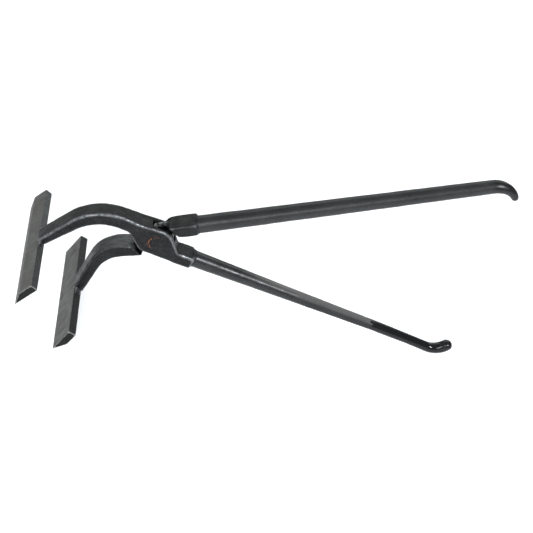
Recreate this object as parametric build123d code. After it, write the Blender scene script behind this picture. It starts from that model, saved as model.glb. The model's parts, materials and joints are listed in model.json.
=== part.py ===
from build123d import *
import os
from math import cos, radians, sin

# Wide-jaw tongs: two forged steel levers crossed in a box joint, each with a flat jaw bar
# welded to its arm and a round-bar handle welded to its root block. Millimetres.
#
# Each lever is drawn in its own frame: the pivot is the origin, +X runs along the handle, +Z is up
# when the tongs stand, and Y is the pivot axis. Both are then turned to the standing pose, in which
# the tongs rest on the inner jaw's tip edge and on the bend at the end of the lower handle.
# The outer lever is split into two cheeks at the joint, and the inner lever's tongue runs between.

# standing pose: the way each handle points, in degrees above +X
lower_handle_angle = -16.49
upper_handle_angle = 21.61

# box joint
joint_thickness = 19.0
slot_width = 6.5
tongue_thickness = 6.25
boss_radius = 16.5
tongue_radius = 17.0
slot_radius = 18.8
mouth_wall = 3.4                            # the slot's mouth, from the line through the pivot down
mouth_depth = 34.0
rivet_radius = 6.0
rivet_running_gap = 0.05
rivet_head_radius = 8.8
rivet_head_depth = 2.8

# root blocks, the square ends that the handles are welded to
block_inner = 3.8                           # nearest face, from the line through the pivot
block_outer = 16.8                          # farthest face
block_end = 44.5
block_chamfer = 1.2

# arms
outer_arm_width = 16.6
inner_arm_width = 17.4
boss_top_angle = 5.0                        # the way the boss's top edge runs
boss_back_angle = -47.7                     # and its sloping edge down to the lower block
crown_outer_corner = (-73.3, 15.4)          # the outer arm's crown: where its edges would meet
crown_outer_radius = 52.0
crown_inner_corner = (-65.2, 0.6)
crown_inner_radius = 44.0
crotch_point = (-28.8, -0.4)                # the cheeks' left edge passes here
crotch_angle = -42.9
inner_arm_angle = 170.1                     # the way the inner arm leaves the joint
inner_arm_back = 4.8                        # its two edges, from the line through the pivot
inner_arm_front = 17.5
inner_arm_back_turned = ((-83.9, -29.6), 52.0)      # past the elbow, a point and a way for each edge
inner_arm_front_turned = ((-87.7, -50.1), 51.0)
elbow_radius = 38.0

# shoulders, where the inner lever narrows to its tongue
shoulder_angle = 33.1                       # the way that the upper shoulder faces
shoulder_reach = 23.4                       # from the pivot, at the outer faces
upper_shoulder_root = 18.4                  # and where each shoulder meets the tongue
lower_shoulder_root = 22.6
neck_length = 30.0                          # the tongue's necks end inside the solid behind the shoulders

# jaws, both the same bar
jaw_length = 140.0
jaw_depth = 31.9
jaw_thickness = 8.8
jaw_flat = 17.3                             # width of the back before its bevel
jaw_tip = 0.6
outer_jaw_heel = (-96.9, -57.8)             # the gripping face's edge at the arm
outer_jaw_angle = 248.0                     # heel to tip
outer_arm_on_jaw = (2.2, 10.2)              # the arm's end, measured back from the gripping face
inner_jaw_heel = (-98.2, -48.9)
inner_jaw_angle = 223.0
inner_arm_on_jaw = (0.0, 9.0)
jaw_weld_leg = 6.5

# handles: axis from the line through the pivot, (distance from the root, radius) stations of the
# tapered bar, then bends as (bend radius, turn in degrees, bar radii along the bend)
handle_offset = 9.8
upper_handle_bar = [(0.0, 8.8), (146.0, 7.8), (292.5, 6.6)]
upper_handle_bends = [(21.0, -86.0, (6.6, 6.2, 5.3, 4.3, 3.4))]
lower_handle_bar = [(0.0, 8.5), (99.0, 6.8), (195.5, 5.6)]
lower_handle_bends = [(2050.0, -2.45, (5.6, 5.3, 5.05)), (19.5, 79.0, (5.05, 5.6, 6.1, 5.9))]
handle_weld_radius = 9.5
handle_weld_reach = 2.6

FAR = 400.0                                 # longer than any lever, for cutting tools


def way(angle):
    """Unit direction in the lever plane, as (x, z)."""
    return cos(radians(angle)), sin(radians(angle))


def beside(angle, along, aside):
    """Point at a distance from the pivot along a direction, then aside to its left."""
    ux, uz = way(angle)
    return along * ux - aside * uz, along * uz + aside * ux


def crossing(point_a, angle_a, point_b, angle_b):
    """Where the line through one point meets the line through the other."""
    ax, az = way(angle_a)
    bx, bz = way(angle_b)
    dx, dz = point_b[0] - point_a[0], point_b[1] - point_a[1]
    along = (dx * bz - dz * bx) / (ax * bz - az * bx)
    return point_a[0] + along * ax, point_a[1] + along * az


def outline(*corners):
    """Closed face in the lever plane, from ((x, z), corner radius) pairs."""
    points = [point for point, radius in corners]
    radii = [radius for point, radius in corners]
    return Plane.XZ * make_face(FilletPolyline(*points, radius=radii, close=True))


def slab(face, thickness):
    """The face given a thickness, half to each side of the lever plane."""
    return extrude(face, amount=thickness / 2, both=True)


def plan_body(arm_width, arm_end, joint_start):
    """Tall solid whose plan is as wide as the arm, and widens smoothly to the joint's thickness."""
    arm, joint, blend = arm_width / 2, joint_thickness / 2, 30.0
    front = [(-FAR, -arm), (arm_end, -arm), (joint_start, -joint), (FAR, -joint)]
    back = [(x, -y) for x, y in reversed(front)]
    radii = [0, blend, blend, 0, 0, blend, blend, 0]
    return extrude(make_face(FilletPolyline(*front, *back, radius=radii, close=True)), amount=FAR, both=True)


def jaw_place(heel, angle):
    """Where a jaw's own frame lies in its lever: +X from heel to tip along the gripping face."""
    return Pos(heel[0], 0, heel[1]) * Rot(0, -angle, 0)


def on_jaw(heel, angle, back):
    """Point on the heel of a jaw, that far back from its gripping face."""
    aside = beside(angle, 0, back)
    return heel[0] + aside[0], heel[1] + aside[1]


# ---- pieces, each in its lever's frame --------------------------------------------------------

def jaw(back_side):
    """Flat bar with a bevelled back. back_side is which way its back faces, +1 or -1."""
    section = [(0, 0), (jaw_depth, 0), (jaw_depth, jaw_tip), (jaw_flat, jaw_thickness), (0, jaw_thickness)]
    return slab(outline(*[((x, back_side * z), 0) for x, z in section]), jaw_length)


def jaw_weld(back_side, arm_width, low, high):
    """Hollow fillets of weld metal in the corners between the jaw's heel and the arm's back and front."""
    leg = jaw_weld_leg
    hollow = ThreePointArc((-leg, 0), (-0.32 * leg, 0.32 * leg), (0, leg))
    face = make_face(hollow + Polyline((0, leg), (0, 0), (-leg, 0)))
    middle = back_side * (low + high) / 2
    bead = Pos(0, arm_width / 2, middle) * extrude(face, amount=(high - low) / 2, both=True)
    return bead, mirror(bead, about=Plane.XZ)


def root_block(side):
    """Square root of a handle. side is +1 above the pivot's line, -1 below it."""
    low, high = sorted((side * block_inner, side * block_outer))
    block = Pos(block_end / 2, 0, (low + high) / 2) * Box(block_end, joint_thickness, high - low)
    return chamfer(block.faces().sort_by(Axis.X)[-1].edges(), block_chamfer)


def handle(side, bar, bends):
    """Tapered round bar whose end is bent round towards the other handle and rounded off."""
    (_, root), (middle_x, middle), (end_x, end) = bar
    flank = ThreePointArc((0, root), (middle_x, middle), (end_x, end))
    profile = make_face(flank + Polyline((end_x, end), (end_x, 0), (0, 0), (0, root)))
    solid = revolve(Plane.XZ * profile, Axis.X)
    start, heading = (end_x, 0), 0.0
    for bend_radius, turn, radii in bends:
        path = Plane.XZ * JernArc(start, way(heading), bend_radius, turn)
        places = [index / (len(radii) - 1) for index in range(len(radii))]
        circles = [
            Plane(origin=path @ place, x_dir=(0, 1, 0), z_dir=path % place) * Circle(radius)
            for place, radius in zip(places, radii)
        ]
        solid += loft(circles)
        start, heading = ((path @ 1).X, (path @ 1).Z), heading + turn
    solid += Plane(origin=path @ 1, x_dir=(0, 1, 0), z_dir=path % 1) * Sphere(radii[-1], arc_size1=0)
    return Pos(block_end, 0, side * handle_offset) * solid


def handle_weld(side, handle_solid):
    """Ring of weld metal round the handle's root, run over the end of the block."""
    reach, rim = handle_weld_reach, handle_weld_radius
    crown = ThreePointArc((-reach, rim - 1.4), (0, rim), (reach, rim - 1.3))
    profile = make_face(crown + Polyline((reach, rim - 1.3), (reach, 0), (-reach, 0), (-reach, rim - 1.4)))
    ring = Pos(block_end, 0, side * handle_offset) * revolve(Plane.XZ * profile, Axis.X)
    return ring - root_block(side) - handle_solid


def rivet():
    """Shank with a countersunk, peened head at each end, flush with the cheeks."""
    half, head = joint_thickness / 2, rivet_head_depth
    flank = Polyline(
        (0, half), (rivet_head_radius, half), (rivet_radius, half - head),
        (rivet_radius, head - half), (rivet_head_radius, -half), (0, -half), close=True,
    )
    return Rot(-90, 0, 0) * revolve(Plane.XZ * make_face(flank), Axis.Z)


def outer_arm():
    """Outer jaw's arm, the two cheeks of the box joint and the lower root block, all one forging."""
    boss_top = beside(boss_top_angle, 0, boss_radius)
    boss_corner = crossing(boss_top, boss_top_angle, beside(boss_back_angle, 0, boss_radius), boss_back_angle)
    block_corner = crossing(boss_corner, boss_back_angle, (0, -block_inner), 0)
    crotch = crossing((0, crown_inner_corner[1]), 0, crotch_point, crotch_angle)
    cheek_corner = crossing(crotch, crotch_angle, (0, -block_outer), 0)
    arm_back = on_jaw(outer_jaw_heel, outer_jaw_angle, -outer_arm_on_jaw[1])
    arm_front = on_jaw(outer_jaw_heel, outer_jaw_angle, -outer_arm_on_jaw[0])
    profile = outline(
        (arm_back, 0),
        (crown_outer_corner, crown_outer_radius),
        (beside(boss_top_angle, -24.0, boss_radius), 40.0),
        (boss_corner, boss_radius),
        (block_corner, 2.5),
        ((block_end, -block_inner), 0),
        ((block_end, -block_outer), 0),
        (cheek_corner, 10.0),
        (crotch, 7.0),
        (crown_inner_corner, crown_inner_radius),
        (arm_front, 0),
    )
    body = slab(profile, joint_thickness) & plan_body(outer_arm_width, -42.0, -22.0)
    body -= Pos(block_end, 0, 0) * end_cutter(-1)
    # the slot: a round pocket that lets the tongue turn, open at the lower left for the inner arm
    mouth = Pos(-mouth_depth / 2, 0, -mouth_wall - mouth_depth / 2) * Box(mouth_depth, slot_width, mouth_depth)
    slot = slab(Plane.XZ * Circle(slot_radius), slot_width) + mouth
    return body - slot - rivet()


def end_cutter(side):
    """What a root block's chamfered end leaves out of a square block, in the block end's frame."""
    low, high = sorted((side * block_inner, side * block_outer))
    square = Pos(-5, 0, (low + high) / 2) * Box(10, joint_thickness, high - low)
    return square - Pos(-block_end, 0, 0) * root_block(side)


def inner_arm():
    """Inner jaw's arm, the tongue of the box joint and the upper root block, all one forging."""
    back_foot = beside(inner_arm_angle, 0, inner_arm_back)
    front_foot = beside(inner_arm_angle, 0, inner_arm_front)
    arm_back = on_jaw(inner_jaw_heel, inner_jaw_angle, inner_arm_on_jaw[0])
    arm_front = on_jaw(inner_jaw_heel, inner_jaw_angle, inner_arm_on_jaw[1])
    elbow_back = crossing(back_foot, inner_arm_angle, *inner_arm_back_turned)
    elbow_front = crossing(front_foot, inner_arm_angle, *inner_arm_front_turned)
    arm = outline(
        (arm_back, 0),
        (elbow_back, elbow_radius),
        (back_foot, 0),
        (front_foot, 0),
        (elbow_front, elbow_radius),
        (arm_front, 0),
    )
    arm_side = shoulder_wedge(shoulder_angle + 180, lower_shoulder_root)
    arm = (slab(arm, joint_thickness) & plan_body(inner_arm_width, -52.0, -34.0)) & arm_side
    block = root_block(1) & shoulder_wedge(shoulder_angle, upper_shoulder_root)
    # the tongue: a disc with a neck to the block and a neck to the arm
    neck_up = neck(0, block_inner)
    neck_down = neck(inner_arm_angle, inner_arm_back)
    tongue = slab(Plane.XZ * Circle(tongue_radius) + neck_up + neck_down, tongue_thickness)
    hole = Rot(90, 0, 0) * Cylinder(rivet_radius + rivet_running_gap, joint_thickness)
    return arm + block + tongue - hole


def neck(angle, near_edge):
    """The tongue's run from the disc out to a shoulder, between two edges along a direction."""
    sides = [(0, near_edge), (neck_length, near_edge), (neck_length, tongue_radius), (0, tongue_radius)]
    return outline(*[(beside(angle, along, aside), 0) for along, aside in sides])


def shoulder_wedge(angle, root_reach):
    """Everything beyond a shoulder: its face leans in from the outer faces to meet the tongue."""
    outer, inner = joint_thickness / 2, tongue_thickness / 2
    lean = [(shoulder_reach, -outer), (root_reach, -inner), (root_reach, inner), (shoulder_reach, outer)]
    face = make_face(Polyline(*lean, (FAR, outer), (FAR, -outer), close=True))
    return Rot(0, -angle, 0) * extrude(face, amount=FAR, both=True)


# ---- assembly -----------------------------------------------------------------------------------

outer_jaw_at = jaw_place(outer_jaw_heel, outer_jaw_angle)
inner_jaw_at = jaw_place(inner_jaw_heel, inner_jaw_angle)
lower_handle = handle(-1, lower_handle_bar, lower_handle_bends)
upper_handle = handle(1, upper_handle_bar, upper_handle_bends)

outer_bead_back, outer_bead_front = jaw_weld(-1, outer_arm_width, 2.6, 8.4)
inner_bead_back, inner_bead_front = jaw_weld(1, inner_arm_width, 0.8, 7.4)

outer_lever = {
    "outer_jaw": outer_jaw_at * jaw(-1),
    "outer_jaw_weld_front": outer_jaw_at * outer_bead_front,
    "outer_jaw_weld_back": outer_jaw_at * outer_bead_back,
    "outer_arm": outer_arm(),
    "lower_handle_weld": handle_weld(-1, lower_handle),
    "lower_handle": lower_handle,
    "pivot_rivet": rivet(),
}
inner_lever = {
    "inner_jaw": inner_jaw_at * jaw(1),
    "inner_jaw_weld_front": inner_jaw_at * inner_bead_front,
    "inner_jaw_weld_back": inner_jaw_at * inner_bead_back,
    "inner_arm": inner_arm(),
    "upper_handle_weld": handle_weld(1, upper_handle),
    "upper_handle": upper_handle,
}

standing = {}
for lever, angle in ((outer_lever, lower_handle_angle), (inner_lever, upper_handle_angle)):
    for name, piece in lever.items():
        [standing[name]] = (Rot(0, -angle, 0) * piece).solids()

# the origin is under the middle of the standing tongs, on the surface they stand on
extent = Compound(list(standing.values())).bounding_box()
to_origin = Pos(-extent.center().X, -extent.center().Y, -extent.min.Z)

os.makedirs("parts", exist_ok=True)
for name, solid in standing.items():
    export_step(to_origin * solid, f"parts/{name}.step")

print("size", extent.size)
print("pivot", to_origin.position)
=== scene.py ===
import json
import math

import bmesh
import bpy
import numpy as np
from mathutils import Matrix, Vector, noise


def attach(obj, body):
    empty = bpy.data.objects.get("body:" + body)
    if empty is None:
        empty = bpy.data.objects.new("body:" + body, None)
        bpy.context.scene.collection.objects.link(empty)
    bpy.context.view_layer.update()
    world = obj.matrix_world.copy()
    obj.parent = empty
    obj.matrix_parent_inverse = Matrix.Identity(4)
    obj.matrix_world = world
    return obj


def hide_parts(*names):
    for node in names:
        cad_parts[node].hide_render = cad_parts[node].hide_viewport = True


# Wide-jaw tongs: softly forged, black painted steel levers with flat grey jaws.
# Each CAD solid is replaced by a finished piece: its own shape with rounded edges, and faces made
# uneven by hammering, grinding or welding. Lengths are in metres unless a name says otherwise.

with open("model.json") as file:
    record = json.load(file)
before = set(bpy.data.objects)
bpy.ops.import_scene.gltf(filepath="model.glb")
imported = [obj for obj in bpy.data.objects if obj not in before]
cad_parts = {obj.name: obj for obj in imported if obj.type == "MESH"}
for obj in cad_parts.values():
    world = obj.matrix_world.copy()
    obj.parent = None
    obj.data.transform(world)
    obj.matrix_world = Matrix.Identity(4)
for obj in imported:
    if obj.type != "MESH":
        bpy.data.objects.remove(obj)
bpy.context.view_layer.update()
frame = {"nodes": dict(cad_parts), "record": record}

MM = 0.001
pivot = Vector(frame["record"]["behaviour"]["joints"][0]["pos_m"])
mounts = {mount["name"]: mount["axis"] for mount in frame["record"]["mounts"]}


def in_face(axis):
    """The way from heel to tip along a jaw's gripping face, which looks along axis."""
    return Vector(axis).cross(Vector((0.0, 1.0, 0.0)))


# ---- surfaces -----------------------------------------------------------------------------------

EDGE_REACH = 0.0025         # how wide a strip along an edge counts as the edge
SLOT_HALF_WIDTH = 0.0036    # the box joint's slot, from its middle plane
JOINT_RADIUS = 0.026        # and how far from the pivot the joint reaches
NOISE_ORIGIN = Vector((0.37, 0.11, 0.53))


def fractal(point, feature):
    """Smooth noise about -1 to 1 whose lumps are about that many metres across."""
    return noise.fractal(point / feature, 1.0, 2.1, 2)


def even_mesh(nodes, voxel):
    """The CAD solids of some nodes as one closed mesh of small even faces."""
    shape = bmesh.new()
    for node in nodes:
        shape.from_mesh(frame["nodes"][node].data)
    bmesh.ops.remove_doubles(shape, verts=shape.verts, dist=1e-6)
    plain = bpy.data.meshes.new("plain")
    shape.to_mesh(plain)
    shape.free()
    holder = bpy.data.objects.new("holder", plain)
    bpy.context.collection.objects.link(holder)
    remesh = holder.modifiers.new("even", "REMESH")
    remesh.mode = "VOXEL"
    remesh.voxel_size = voxel
    depsgraph = bpy.context.evaluated_depsgraph_get()
    mesh = bpy.data.meshes.new_from_object(holder.evaluated_get(depsgraph))
    bpy.data.objects.remove(holder)
    return mesh


def softened(points, edges, weight, passes):
    """Points moved towards their neighbours' middle, over and over. weight is 0 to 1 for each point."""
    first, second = edges[:, 0], edges[:, 1]
    count = np.bincount(edges.ravel(), minlength=len(points))[:, None]
    for _ in range(passes):
        middle = np.stack([
            np.bincount(first, points[second, axis], len(points))
            + np.bincount(second, points[first, axis], len(points)) for axis in range(3)
        ], axis=1) / count
        points = points + 0.5 * weight * (middle - points)
    return points


def passes_for(reach, voxel):
    """How many passes of softening reach that far on a mesh of that fineness."""
    return round(4.0 * (reach / voxel) ** 2)


def read(mesh, kind):
    """One vector for each vertex, as rows."""
    values = np.empty(len(mesh.vertices) * 3)
    mesh.vertices.foreach_get(kind, values)
    return values.reshape(-1, 3)


def store(mesh, name, values):
    mesh.attributes.new(name, "FLOAT", "POINT").data.foreach_set("value", values)


def ramp(values, start, length):
    """0 up to start, then rising to 1 over that length."""
    return np.clip((values - start) / length, 0.0, 1.0)


def from_pivot(points):
    return np.linalg.norm(points - np.array(pivot), axis=1, keepdims=True)


def forged(node, body, slot, voxel, rounding, waves, swell=0.0, arm_swell=0.0, joined=(), facing=None):
    """A finished piece over a CAD solid, with rounded edges and gently uneven faces.

    voxel is the mesh's fineness and rounding how far the softening reaches, which is less in the
    joint's slot. waves are the (width, height) of the unevenness. swell moves the faces out, or in
    if it is negative, and arm_swell moves them further out away from the joint. The solids of the
    nodes in joined are made one with this piece. For the materials, each vertex keeps its bulge,
    in mm out of a softer shape, and how much it looks the way of facing.
    """
    mesh = even_mesh((node,) + joined, voxel)
    edges = np.empty(len(mesh.edges) * 2, dtype=np.int64)
    mesh.edges.foreach_get("vertices", edges)
    edges = edges.reshape(-1, 2)
    points = read(mesh, "co")
    beside_slot = ramp(np.abs(points[:, 1:2]), SLOT_HALF_WIDTH, 0.003)
    outside = np.maximum(beside_slot, ramp(from_pivot(points), JOINT_RADIUS, 0.004))
    points = softened(points, edges, 0.15 + 0.85 * outside, passes_for(rounding, voxel))
    mesh.vertices.foreach_set("co", points.ravel())
    mesh.update()
    normals = read(mesh, "normal")
    melted = softened(points, edges, 1.0, passes_for(EDGE_REACH / 2, voxel))
    store(mesh, "bulge", ((points - melted) * normals).sum(axis=1) / MM)
    if facing is not None:
        store(mesh, "facing", normals @ np.array(facing))
    heights = np.array([
        sum(height * fractal(Vector(point) + NOISE_ORIGIN, width) for width, height in waves)
        for point in points
    ])
    growth = swell + arm_swell * ramp(from_pivot(points), JOINT_RADIUS, 0.006)
    points = points + normals * (heights[:, None] * (0.2 + 0.8 * outside) + growth * outside)
    mesh.vertices.foreach_set("co", points.ravel())
    for polygon in mesh.polygons:
        polygon.use_smooth = True
    mesh.update()
    piece = bpy.data.objects.new(node + "_finished", mesh)
    bpy.context.collection.objects.link(piece)
    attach(piece, body)
    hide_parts(node)
    return piece


# ---- node materials -----------------------------------------------------------------------------

class Surface:
    """Builds one material's nodes, in object coordinates (metres)."""

    def __init__(self, name, specular):
        self.material = bpy.data.materials.new(name)
        self.material.use_nodes = True
        self.tree = self.material.node_tree
        self.shader = self.tree.nodes["Principled BSDF"]
        self.shader.inputs["Specular IOR Level"].default_value = specular
        texture = self.tree.nodes.new("ShaderNodeTexCoord")
        self.position, self.normal = texture.outputs["Object"], texture.outputs["Normal"]

    def node(self, kind, inputs, **settings):
        """A new node. Each input is a socket to link from or a value."""
        made = self.tree.nodes.new("ShaderNode" + kind)
        for key, value in settings.items():
            setattr(made, key, value)
        for key, value in inputs.items():
            if isinstance(value, bpy.types.NodeSocket):
                self.tree.links.new(value, made.inputs[key])
            else:
                made.inputs[key].default_value = value
        return made

    def noise(self, feature_mm, detail=3.0, roughness=0.55, distortion=0.0, at=None):
        made = self.node("TexNoise", {
            "Vector": at or self.position, "Scale": 1000.0 / feature_mm, "Detail": detail,
            "Roughness": roughness, "Distortion": distortion,
        })
        return made.outputs["Fac"]

    def spread(self, value, low, high, to_low=0.0, to_high=1.0):
        """A smooth step from to_low, at low and below, to to_high, at high and above."""
        made = self.node("MapRange", {
            "Value": value, "From Min": low, "From Max": high, "To Min": to_low, "To Max": to_high,
        }, interpolation_type="SMOOTHSTEP")
        return made.outputs["Result"]

    def math(self, operation, a, b=0.0):
        return self.node("Math", {0: a, 1: b}, operation=operation).outputs[0]

    def times(self, first, *others):
        for other in others:
            first = self.math("MULTIPLY", first, other)
        return first

    def less(self, value):
        """What is left of 1."""
        return self.math("SUBTRACT", 1.0, value)

    def wander(self, feature_mm, size):
        """Noise about zero, to make a border irregular."""
        return self.times(self.math("SUBTRACT", self.noise(feature_mm, 4.0), 0.5), size)

    def mix(self, amount, a, b):
        made = self.node("Mix", {0: amount, 6: a, 7: b}, data_type="RGBA")
        return made.outputs[2]

    def stored(self, name):
        """A number stored on each vertex."""
        return self.node("Attribute", {}, attribute_name=name).outputs["Fac"]

    def edges(self, low, high):
        """1 on convex edges, 0 on flats and hollows, by how far the vertices bulge, in mm."""
        return self.spread(self.stored("bulge"), low, high)

    def distance(self, place):
        made = self.node("VectorMath", {0: self.position, 1: tuple(place)}, operation="DISTANCE")
        return made.outputs["Value"]

    def along(self, direction):
        made = self.node("VectorMath", {0: self.position, 1: tuple(direction)}, operation="DOT_PRODUCT")
        return made.outputs["Value"]

    def coordinates(self):
        made = self.node("SeparateXYZ", {"Vector": self.position})
        return made.outputs["X"], made.outputs["Y"], made.outputs["Z"]

    def bump(self, height, depth_mm, below=None):
        inputs = {"Height": height, "Distance": depth_mm * MM, "Strength": 1.0}
        if below is not None:
            inputs["Normal"] = below
        return self.node("Bump", inputs).outputs["Normal"]

    def finish(self, color, roughness, normal):
        self.tree.links.new(color, self.shader.inputs["Base Color"])
        self.tree.links.new(roughness, self.shader.inputs["Roughness"])
        self.tree.links.new(normal, self.shader.inputs["Normal"])
        return self.material


RUST_RADIUS = 0.0083        # of the crescent at the rivet head's rim


def grey(value, tint=(1.0, 1.0, 1.0)):
    """Linear colour of a grey, slightly tinted."""
    return tuple(value * part for part in tint) + (1.0,)


def from_axis(s):
    """How far right of the pivot's axis, how far above it, and the distance from it."""
    x, _, z = s.coordinates()
    across, up = s.math("SUBTRACT", x, pivot.x), s.math("SUBTRACT", z, pivot.z)
    return across, up, s.math("SQRT", s.math("ADD", s.times(across, across), s.times(up, up)))


def rust_mask(s):
    """Crescent of rust at the left edge of the rivet's front head, and a thin streak above it."""
    across, up, radius = from_axis(s)
    uneven = s.math("ADD", radius, s.wander(3.0, 0.0045))
    off_rim = s.math("ABSOLUTE", s.math("SUBTRACT", uneven, RUST_RADIUS))
    ring = s.spread(off_rim, 0.0004, 0.0014, 1.0, 0.0)
    left = s.spread(across, -0.0062, -0.0030, 1.0, 0.0)
    streak = s.times(s.spread(up, 0.0055, 0.0068), s.spread(across, 0.0010, 0.0030, 0.25, 0.0))
    front = s.spread(s.coordinates()[1], -0.0085, -0.0080, 1.0, 0.0)
    patches = s.spread(s.noise(1.6, 3.0), 0.44, 0.56)
    return s.times(ring, s.math("MAXIMUM", left, streak), front, patches)


def joint_shade_mask(s, half_depth, reach):
    """1 inside the box joint, where shade is painted, 0 elsewhere. The joint's inside is within half_depth
    of its middle plane and within reach of its axis."""
    depth = s.math("ABSOLUTE", s.coordinates()[1])
    inside = s.spread(depth, half_depth, half_depth + 0.0025, 1.0, 0.0)
    return s.times(inside, s.spread(from_axis(s)[2], reach - 0.0006, reach + 0.0006, 1.0, 0.0))


def rubbed(s):
    """Patches rubbed bare on top of the tongue, where it turns between the cheeks."""
    _, y, z = s.coordinates()
    between = s.spread(s.math("ABSOLUTE", y), 0.0026, 0.0036, 1.0, 0.0)
    radius = from_axis(s)[2]
    rim = s.times(s.spread(radius, 0.0150, 0.0165), s.spread(radius, 0.0225, 0.0240, 1.0, 0.0))
    top = s.spread(z, pivot.z + 0.010, pivot.z + 0.013)
    return s.times(between, rim, top, s.spread(s.noise(3.0, 3.0), 0.42, 0.60, 0.05, 0.55))


def scuffed(s, full_at, least_at):
    """An arm's top and back, scuffed fully from full_at to the jaw, and least from least_at to the
    joint. Both are distances left of the pivot."""
    grain = s.node("VectorMath", {0: s.position, 1: (1.0, 5.0, 1.0)}, operation="MULTIPLY")
    streaks = s.spread(s.noise(14.0, 4.0, 0.6, at=grain.outputs["Vector"]), 0.34, 0.58, 0.45, 1.0)
    top = s.spread(s.stored("facing"), 0.05, 0.30)
    arm = s.spread(s.coordinates()[0], pivot.x - full_at, pivot.x - least_at, 1.0, 0.10)
    return s.times(top, arm, streaks)


def pits(s):
    """Small dark pits in the scuffed steel near the inner jaw."""
    spots = s.spread(s.noise(4.0, 1.0), 0.63, 0.67)
    near_jaw = s.spread(s.coordinates()[0], pivot.x - 0.062, pivot.x - 0.050, 1.0, 0.0)
    return s.times(spots, near_jaw, s.spread(s.stored("facing"), 0.05, 0.20))


def forged_paint(name, base=0.0065, worn=0.26, edge=(0.08, 0.36), half_depth=0.0040, reach=0.0194,
                 scuff=None, inner_arm=False):
    """Black paint over hammered steel, worn to metal on its edges, with painted shade: near black inside the
    joint.

    base and worn are the greys of the paint and of the worn edges. edge is the bulge in mm where wear
    starts and where it is full. half_depth and reach bound the joint's inside, where shade is painted. scuff
    is the grey of the scuffs and their two distances. inner_arm adds pits, and the tongue's rubbed top.
    """
    s = Surface(name, 0.13)
    broad = s.spread(s.noise(22.0, 4.0), 0.35, 0.68)
    fine = s.spread(s.noise(2.6, 5.0, 0.7), 0.44, 0.68)
    color = s.mix(broad, grey(base * 0.6, (1.08, 1.0, 1.05)), grey(base * 1.35, (0.95, 1.03, 1.03)))
    color = s.mix(s.times(fine, 0.6), color, grey(base * 3.6, (0.95, 1.0, 1.03)))
    patches = s.spread(s.noise(5.0, 4.0, 0.6), 0.34, 0.60, 0.35, 0.9)
    specks = s.spread(s.noise(1.6, 3.0, 0.6), 0.40, 0.58, 0.55, 1.15)
    # painted shade: inside the box joint, where shade falls, the colour goes near black and dark metal,
    # without worn edges
    painted_joint_shade = joint_shade_mask(s, half_depth, reach)
    wear = s.times(s.edges(*edge), patches, specks, s.less(painted_joint_shade))
    color = s.mix(s.times(painted_joint_shade, 0.8), color, grey(0.003))
    if scuff is not None:
        shade, full_at, least_at = scuff
        mottled = s.mix(s.noise(2.5, 4.0, 0.7), grey(shade * 0.5), grey(shade * 1.2, (0.96, 1.02, 1.0)))
        color = s.mix(scuffed(s, full_at, least_at), color, mottled)
    if inner_arm:
        color = s.mix(pits(s), color, grey(0.004))
        wear = s.math("MAXIMUM", wear, rubbed(s))
    color = s.mix(wear, color, grey(worn, (0.96, 1.0, 1.03)))
    # painted shade: metallic black reflects almost nothing, so the joint's inside stays dark under the lamps
    # as if shaded
    metal = s.math("MAXIMUM", s.times(wear, 0.85), painted_joint_shade)
    s.tree.links.new(metal, s.shader.inputs["Metallic"])
    color = s.mix(rust_mask(s), color, (0.15, 0.055, 0.027, 1.0))
    satin = s.spread(s.noise(9.0, 4.0), 0.3, 0.7, 0.38, 0.54)
    roughness = s.math("SUBTRACT", satin, s.times(wear, 0.14))
    normal = s.bump(s.noise(7.0, 3.0), 0.10)
    normal = s.bump(s.noise(2.2, 3.0), 0.09, normal)
    normal = s.bump(s.noise(0.9, 4.0, 0.6), 0.06, normal)
    return s.finish(color, roughness, normal)


def handle_paint(name, satin, gloss_from, gloss_width, gloss, dull_from=1.0):
    """Black bar, satin from its root and glossy where its end was dipped.

    satin and gloss are roughnesses. gloss_from and dull_from are distances from the pivot: the dip
    starts over gloss_width, and towards dull_from the top and back get dusty, with painted light as well:
    lighter on top and darker towards the bottom. The default for dull_from is past the handle's end.
    """
    s = Surface(name, 0.26)
    reached = s.math("ADD", s.distance(pivot), s.wander(6.0, 0.02))
    dipped = s.spread(reached, gloss_from, gloss_from + gloss_width)
    broad = s.spread(s.noise(30.0, 4.0), 0.35, 0.68)
    fine = s.spread(s.noise(1.8, 5.0, 0.65), 0.40, 0.68)
    color = s.mix(broad, grey(0.009, (1.0, 1.0, 1.03)), grey(0.016, (0.97, 1.0, 1.03)))
    color = s.mix(s.times(fine, 0.45), color, grey(0.030, (1.0, 1.0, 1.05)))
    # dust with painted top light: towards dull_from the bar turns dusty grey on top and back, fading
    # smoothly darker towards the bottom
    on_top = s.spread(s.stored("facing"), -0.35, 0.80)
    dust_and_top_light = s.times(s.spread(reached, dull_from - 0.075, dull_from - 0.015), on_top)
    color = s.mix(dust_and_top_light, color, grey(0.078, (1.03, 1.0, 0.97)))
    color = s.mix(dipped, color, grey(0.006, (1.0, 1.0, 1.1)))
    matt = s.spread(s.noise(4.0, 5.0, 0.6), 0.3, 0.7, satin - 0.06, satin + 0.06)
    matt = s.math("ADD", matt, s.spread(reached, dull_from - 0.010, dull_from + 0.010, 0.0, 0.28))
    roughness = s.math("ADD", s.times(dipped, gloss), s.times(s.less(dipped), matt))
    grain = s.times(s.noise(0.9, 4.0, 0.6), s.less(s.times(dipped, 0.85)))
    normal = s.bump(s.noise(14.0, 2.0), 0.12)
    normal = s.bump(grain, 0.035, normal)
    return s.finish(color, roughness, normal)


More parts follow.
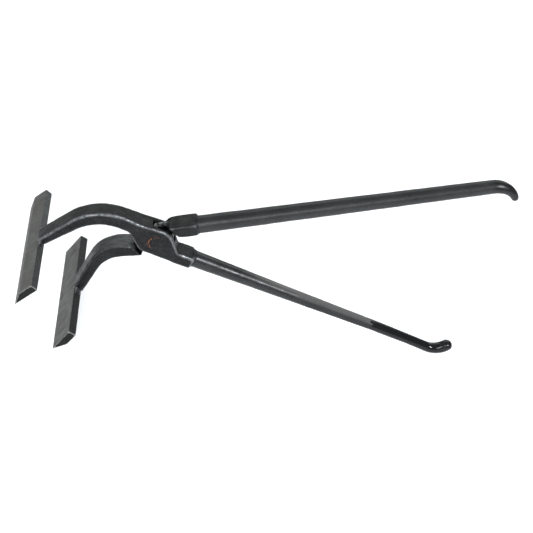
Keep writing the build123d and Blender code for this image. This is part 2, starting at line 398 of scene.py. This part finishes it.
def jaw_grey(name, tip_way, lean, depth, base, heel):
    """Matt grey bar with faint mottling, grinding lines on its wide faces and worn edges.

    The lines run along tip_way, turned by lean radians, and depth is how strongly they show. base and
    heel are the greys of the wide faces and of the narrow ones.
    """
    s = Surface(name, 0.15)
    broad = s.spread(s.noise(18.0, 5.0, 0.6), 0.36, 0.66)
    color = s.mix(broad, grey(base * 0.85, (1.04, 1.0, 0.93)), grey(base * 1.15, (0.97, 1.02, 0.95)))
    fine = s.spread(s.noise(1.5, 4.0, 0.7), 0.40, 0.62)
    color = s.mix(s.times(fine, 0.30), color, grey(base * 1.6, (0.98, 1.0, 0.97)))
    across = Vector((0.0, math.cos(lean), 0.0)) + math.sin(lean) * tip_way
    along = Vector((0.0, -math.sin(lean), 0.0)) + math.cos(lean) * tip_way
    grain = s.node("CombineXYZ", {"X": s.along(across), "Y": s.times(s.along(along), 0.06), "Z": 0.0})
    lines = s.noise(1.3, 2.0, 0.5, at=grain.outputs["Vector"])
    color = s.mix(s.spread(lines, 0.46, 0.62, 0.0, depth), color, grey(base * 0.4))
    # the narrow faces: darker on the front half, and nearly black at the bar's ends
    squareness = s.math("ADD", s.math("ABSOLUTE", s.stored("facing")), s.wander(3.0, 0.3))
    wide = s.spread(squareness, 0.70, 0.84)
    y = s.coordinates()[1]
    narrow = s.mix(fine, grey(heel * 0.6, (0.98, 1.0, 1.0)), grey(heel * 1.5, (0.98, 1.02, 1.0)))
    narrow = s.mix(s.spread(y, -0.020, 0.020), s.mix(0.45, narrow, grey(0.010)), narrow)
    sideways = s.math("ABSOLUTE", s.node("SeparateXYZ", {"Vector": s.normal}).outputs["Y"])
    end_black = s.mix(s.spread(fine, 0.5, 1.0), grey(0.004), grey(0.014))
    narrow = s.mix(s.spread(sideways, 0.70, 0.85), narrow, end_black)
    color = s.mix(wide, narrow, color)
    # the edges: bright at the bar's ends, brownish along it
    wear = s.times(s.edges(0.20, 0.42), s.spread(s.noise(3.0, 4.0), 0.36, 0.6, 0.25, 0.9))
    near_end = s.spread(s.math("ABSOLUTE", y), 0.066, 0.068)
    rim = s.mix(near_end, (0.11, 0.078, 0.055, 1.0), grey(0.22, (1.0, 1.0, 0.95)))
    color = s.mix(wear, color, rim)
    roughness = s.spread(s.noise(6.0, 4.0), 0.3, 0.7, 0.52, 0.70)
    normal = s.bump(lines, 0.04)
    normal = s.bump(s.noise(0.8, 4.0, 0.6), 0.03, normal)
    return s.finish(color, roughness, normal)


outer_paint = forged_paint("outer_arm_black", scuff=(0.040, 0.095, 0.050))
# the inner arm's larger half_depth and reach spread the painted shade over its shoulder beside the cheeks
inner_paint = forged_paint("inner_arm_black", worn=0.17, edge=(0.16, 0.44), half_depth=0.0100, reach=0.0240,
                           scuff=(0.072, 0.030, 0.016), inner_arm=True)
rivet_paint = forged_paint("rivet_black", edge=(1.0, 2.0))
collar_paint = forged_paint("collar_black", worn=0.07, edge=(0.12, 0.45))
weld_paint = forged_paint("weld_black", worn=0.20, edge=(0.06, 0.24))
upper_paint = handle_paint("upper_handle_black", satin=0.40, gloss_from=0.332, gloss_width=0.012, gloss=0.36)
lower_paint = handle_paint("lower_handle_black", satin=0.30, gloss_from=0.252, gloss_width=0.006, gloss=0.15,
                           dull_from=0.165)
outer_grey = jaw_grey("outer_jaw_grey", in_face(mounts["outer_jaw_face"]), lean=0.15, depth=0.30,
                      base=0.092, heel=0.050)
inner_grey = jaw_grey("inner_jaw_grey", in_face(mounts["inner_jaw_face"]), lean=0.20, depth=0.80,
                      base=0.118, heel=0.018)


# ---- pieces ---------------------------------------------------------------------------------------

# widths and heights of the unevenness
HAMMERED = ((0.014, 0.00025), (0.004, 0.00008))
BAR = ((0.020, 0.00016), (0.005, 0.00005))
GROUND = ((0.025, 0.00012), (0.004, 0.00003))
WELD = ((0.003, 0.00030), (0.0012, 0.00015))

BACK_AND_UP = (0.0, 0.7, 0.714)

JAW = dict(slot="jaw_grey", voxel=0.0008, rounding=0.0005, waves=GROUND)
ARM = dict(slot="forged_black", voxel=0.0006, rounding=0.0014, waves=HAMMERED, swell=0.0004,
           arm_swell=0.0005, facing=BACK_AND_UP)
HANDLE = dict(slot="handle_black", voxel=0.0007, rounding=0.0015, waves=BAR, swell=0.0004,
              facing=BACK_AND_UP)
COLLAR = dict(slot="forged_black", voxel=0.0004, rounding=0.0007, waves=WELD, swell=-0.0002)
BEAD = dict(slot="forged_black", voxel=0.0003, rounding=0.0005, waves=WELD)
RIVET = dict(slot="forged_black", voxel=0.0004, rounding=0.0006, waves=GROUND, swell=0.0004)

outer, inner = "outer_lever", "inner_lever"

# the rivet's heads are peened flush and painted over, so the outer arm's surface runs across them
pieces = (
    ("outer_jaw", outer, dict(JAW, facing=mounts["outer_jaw_face"]), outer_grey),
    ("inner_jaw", inner, dict(JAW, facing=mounts["inner_jaw_face"]), inner_grey),
    ("outer_arm", outer, dict(ARM, joined=("pivot_rivet",)), outer_paint),
    ("inner_arm", inner, ARM, inner_paint),
    ("pivot_rivet", outer, RIVET, rivet_paint),
    ("lower_handle", outer, HANDLE, lower_paint),
    ("upper_handle", inner, HANDLE, upper_paint),
    ("lower_handle_weld", outer, COLLAR, collar_paint),
    ("upper_handle_weld", inner, COLLAR, collar_paint),
    ("outer_jaw_weld_front", outer, BEAD, weld_paint),
    ("outer_jaw_weld_back", outer, BEAD, weld_paint),
    ("inner_jaw_weld_front", inner, BEAD, weld_paint),
    ("inner_jaw_weld_back", inner, BEAD, weld_paint),
)
for node, body, finish, material in pieces:
    piece = forged(node, body, **finish)
    piece.data.materials.clear()
    piece.data.materials.append(material)


# ---- stage, camera and light ------------------------------------------------------------------------

def floor():
    """Plain pale floor at z 0, 12 m square."""
    shape = bmesh.new()
    bmesh.ops.create_grid(shape, x_segments=1, y_segments=1, size=6.0)
    mesh = bpy.data.meshes.new("floor")
    shape.to_mesh(mesh)
    shape.free()
    plane = bpy.data.objects.new("floor", mesh)
    bpy.context.collection.objects.link(plane)
    s = Surface("floor_white", 0.2)
    color = s.mix(s.noise(600.0, 2.0), grey(0.90), grey(0.92))
    mesh.materials.append(s.finish(color, s.math("ADD", s.noise(300.0), 0.4), s.bump(s.noise(50.0), 0.01)))


floor()

camera_elevation = math.radians(45.2)
camera_roll = math.radians(11.71)
camera_distance = 1.4881
camera_lens = 97.87
aim_right_of_pivot = 0.1104
aim_above_pivot = -0.0423

roll = Matrix.Rotation(-camera_roll, 3, "Y")
away = roll @ Vector((0.0, -math.cos(camera_elevation), math.sin(camera_elevation)))
right = roll @ Vector((1.0, 0.0, 0.0))
up = away.cross(right)
target = pivot + roll @ Vector((aim_right_of_pivot, 0.0, aim_above_pivot))

camera = bpy.data.objects.new("camera", bpy.data.cameras.new("camera"))
camera.data.lens = camera_lens
camera.data.sensor_width = 36.0
turned = Matrix((right, up, away)).transposed().to_4x4()
camera.matrix_world = Matrix.Translation(target + away * camera_distance) @ turned
bpy.context.collection.objects.link(camera)
bpy.context.scene.camera = camera


def softbox(name, place, size, power, color=(1.0, 1.0, 1.0), aim=(0.0, 0.0, 0.1)):
    """Rectangular lamp at a place, turned to look at aim."""
    lamp = bpy.data.lights.new(name, "AREA")
    lamp.shape = "RECTANGLE"
    lamp.size, lamp.size_y = size
    lamp.energy = power
    lamp.color = color
    box = bpy.data.objects.new(name, lamp)
    box.location = place
    box.rotation_euler = (Vector(place) - Vector(aim)).to_track_quat("Z", "Y").to_euler()
    bpy.context.collection.objects.link(box)
    return box


# the front right lamp casts no shadow, because it would lie hard and dark on the floor
front_right = softbox("front right", (0.74, -0.89, 1.24), (0.4, 0.25), 33.0, (0.93, 0.96, 1.0))
front_right.data.use_shadow = False
softbox("front left", (-0.72, -1.28, 0.84), (0.9, 0.55), 19.0, (0.95, 0.97, 1.0))
softbox("left", (-1.7, 0.3, 1.0), (1.2, 1.2), 4.0)
softbox("back", (0.1, 1.75, 1.30), (3.2, 0.9), 28.0, (0.96, 1.0, 0.99))
softbox("above", (0.0, 0.3, 2.0), (2.4, 2.0), 4.0, aim=(0.0, 0.0, 0.0))

world = bpy.data.worlds.new("studio")
bpy.context.scene.world = world
world.use_nodes = True
background = world.node_tree.nodes["Background"]
background.inputs["Color"].default_value = (1.0, 1.0, 1.0, 1.0)
# the world is a weak light, but white where the camera sees past the floor's end
seen = world.node_tree.nodes.new("ShaderNodeLightPath").outputs["Is Camera Ray"]
brightness = world.node_tree.nodes.new("ShaderNodeMapRange")
brightness.inputs["To Min"].default_value = 0.2
world.node_tree.links.new(seen, brightness.inputs["Value"])
world.node_tree.links.new(brightness.outputs["Result"], background.inputs["Strength"])
bpy.context.scene.view_settings.view_transform = "Standard"

bpy.context.view_layer.update()
